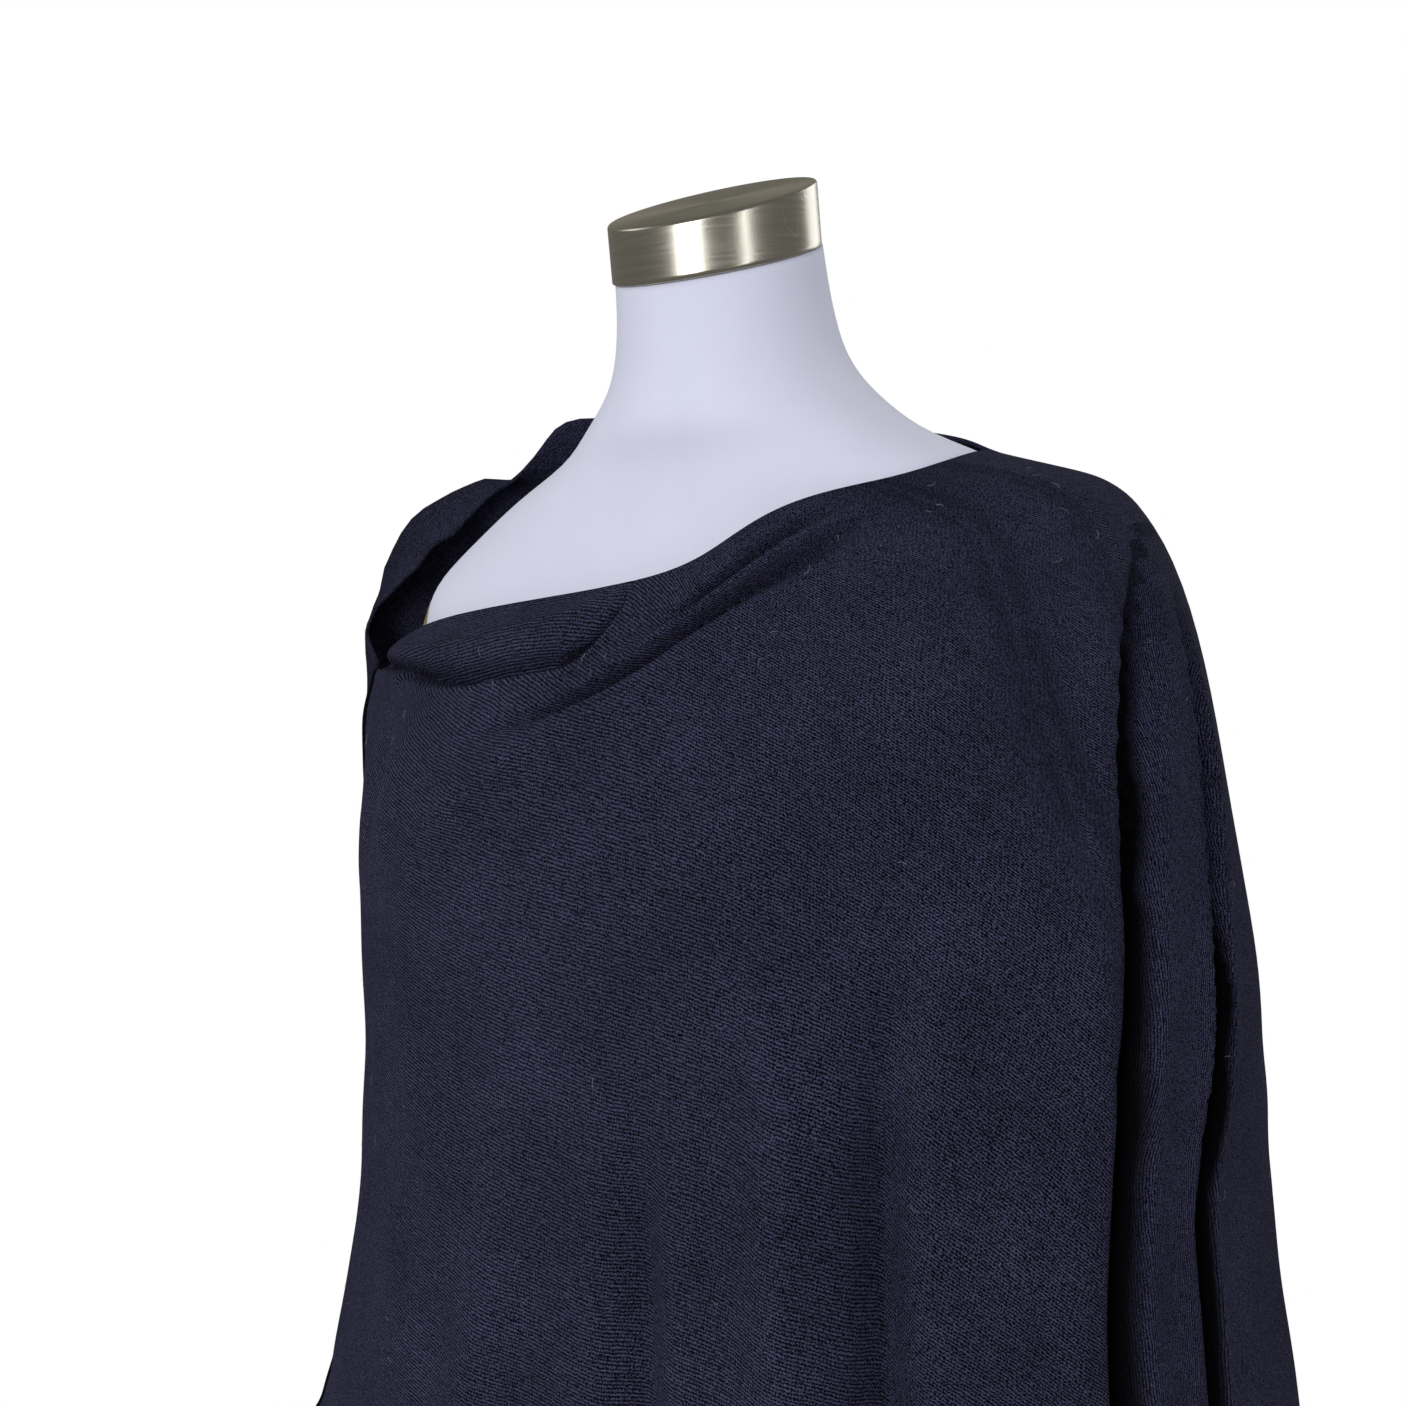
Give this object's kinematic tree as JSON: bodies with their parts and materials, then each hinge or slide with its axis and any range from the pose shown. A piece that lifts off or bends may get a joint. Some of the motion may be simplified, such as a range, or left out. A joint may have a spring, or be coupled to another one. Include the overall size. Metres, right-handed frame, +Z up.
{
  "type": "knit poncho on dress form",
  "caption": "Dark knitted poncho worn off-centre, with a cowl neck and pointed hem, on a limbless dress form with a metal neck cap and a round stand.",
  "frame": {"origin": "centre of the base plate's underside, on the floor, under the pole", "axes": "+Z up; the dress form's front faces -Y; +X is the form's left, where the cloth is folded, and -X is its right, where the seam hangs"},
  "size_m": [0.6232, 0.3975, 1.5257],
  "materials": {
    "knit": "fine stockinette knit, near-black navy, soft and matt with pale lint",
    "jersey": "smooth white stretch jersey pulled tight over the form",
    "neck_cap": "brushed steel with fine scratches, warm grey on top",
    "plate_metal": "dull olive-gold metal",
    "steel": "satin steel"
  },
  "bodies": {
    "root": {"front_half": "knit", "back_half": "knit", "side_seam": "knit", "form_torso": "jersey", "neck_cap": "neck_cap", "left_shoulder_plate": "plate_metal", "right_shoulder_plate": "plate_metal", "pole": "steel", "pole_collar": "steel", "base_plate": "steel"}
  },
  "joints": []
}
